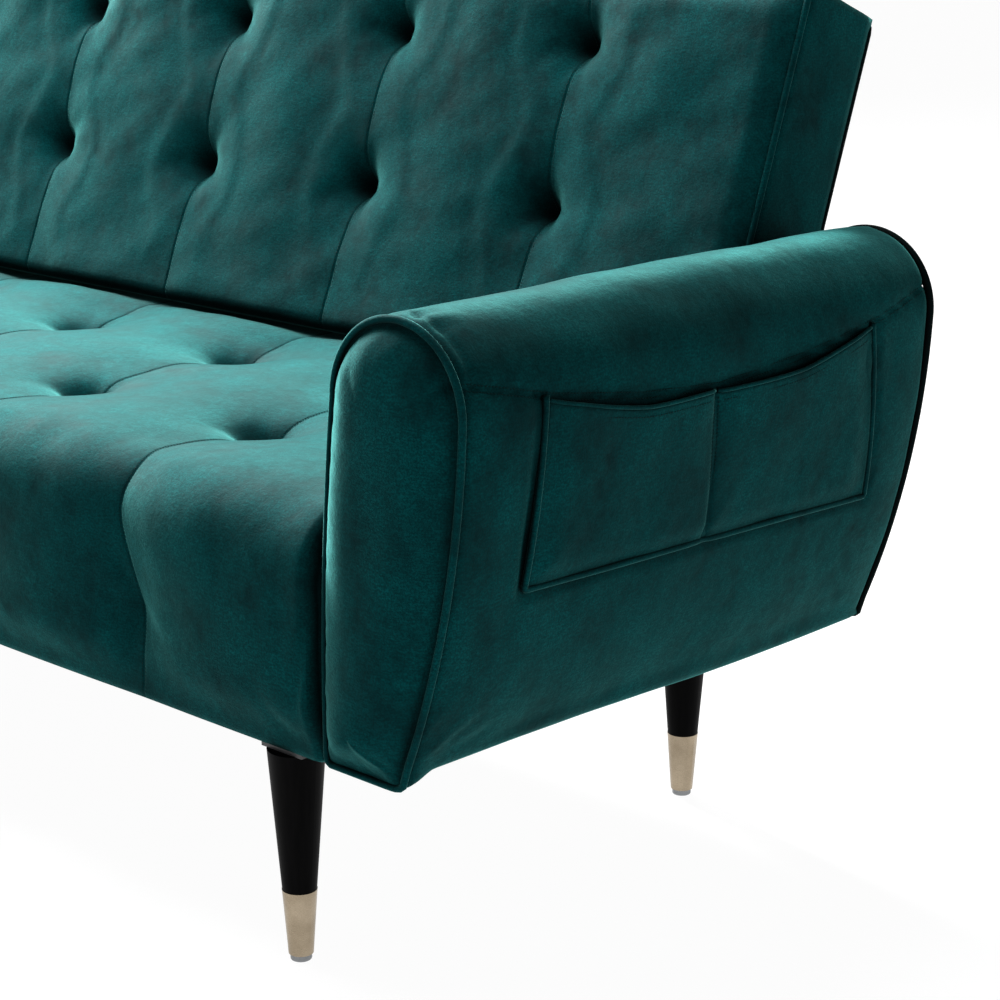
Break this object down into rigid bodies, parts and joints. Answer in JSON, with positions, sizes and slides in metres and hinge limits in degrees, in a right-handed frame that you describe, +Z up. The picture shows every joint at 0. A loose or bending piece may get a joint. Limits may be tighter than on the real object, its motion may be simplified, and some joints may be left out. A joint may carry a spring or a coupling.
{
  "type": "futon sofa bed",
  "caption": "Armed three-seat velvet sofa bed with tufted seat and a click-clack backrest that folds flat, side pockets on the arms, and tapered black legs with brass cups",
  "frame": {"origin": "middle of the sofa's footprint, on the floor", "axes": "+X to a sitter's left, which is on the right as the sofa is seen from the front; +Y to the back; +Z up"},
  "size_m": [2.109, 0.716, 0.7664],
  "materials": {
    "velvet": "deep green velvet with a soft, slightly mottled nap",
    "black_cloth": "thin black non-woven cloth",
    "black_piping": "round piping in the darkest shade of the velvet",
    "foam": "cream upholstery foam",
    "twine": "waxed tufting twine",
    "timber": "plain sawn softwood",
    "plywood": "bare plywood",
    "black_wood": "turned wood in satin black lacquer",
    "brass": "lightly brushed, clear lacquered",
    "plastic": "moulded black plastic",
    "spring_steel": "bare drawn wire",
    "zinc": "bright zinc plate",
    "black_steel": "black powder coat"
  },
  "bodies": {
    "base": {"arm_bolts_left": "zinc", "arm_bolts_right": "zinc", "arm_cover_left": "velvet", "arm_cover_right": "velvet", "arm_foam_left": "foam", "arm_foam_right": "foam", "arm_formers_left": "plywood", "arm_formers_right": "plywood", "arm_piping_left": "black_piping", "arm_piping_right": "black_piping", "arm_pocket_left": "velvet", "arm_pocket_right": "velvet", "arm_rails_left": "timber", "arm_rails_right": "timber", "arm_side_panel_left": "plywood", "arm_side_panel_right": "plywood", "corner_blocks": "timber", "cross_rails": "timber", "end_rail_left": "timber", "end_rail_right": "timber", "front_rail": "timber", "hinge_pins": "zinc", "hinge_seat_bolts": "zinc", "hinge_seat_plate_left": "black_steel", "hinge_seat_plate_right": "black_steel", "leg_bolts": "zinc", "leg_ferrules": "brass", "leg_front_centre": "black_wood", "leg_front_left": "black_wood", "leg_front_right": "black_wood", "leg_glides": "plastic", "leg_plates": "black_steel", "leg_rear_centre": "black_wood", "leg_rear_left": "black_wood", "leg_rear_right": "black_wood", "pawl_springs": "spring_steel", "rear_rail": "timber", "seat_cover": "velvet", "seat_dust_cover": "black_cloth", "seat_foam": "foam", "seat_spring_clips": "plastic", "seat_springs": "spring_steel", "seat_tuft_ties": "twine"},
    "backrest": {"back_bottom_rail": "timber", "back_cover": "velvet", "back_cross_rails": "timber", "back_foam": "foam", "back_piping": "black_piping", "back_side_rails": "timber", "back_spring_clips": "plastic", "back_springs": "spring_steel", "back_top_rail": "timber", "back_tuft_ties": "twine", "hinge_back_strap_left": "black_steel", "hinge_back_strap_right": "black_steel", "hinge_strap_bolts": "zinc"},
    "pawl_left": {"pawl_left": "black_steel"},
    "pawl_right": {"pawl_right": "black_steel"}
  },
  "joints": [
    {"name": "backrest_recline", "type": "hinge", "parent": "base", "child": "backrest", "pos_m": [0, 0.16402, 0.34701], "axis": [-1, 0, 0], "range_deg": [-8, 70]},
    {"name": "pawl_left_pivot", "type": "hinge", "parent": "base", "child": "pawl_left", "pos_m": [-0.8815, 0.16968, 0.29893], "axis": [1, 0, 0], "range_deg": [-6, 10], "stiffness_Nm_per_rad": 0.5},
    {"name": "pawl_right_pivot", "type": "hinge", "parent": "base", "child": "pawl_right", "pos_m": [0.8815, 0.16968, 0.29893], "axis": [1, 0, 0], "range_deg": [-6, 10], "stiffness_Nm_per_rad": 0.5}
  ]
}
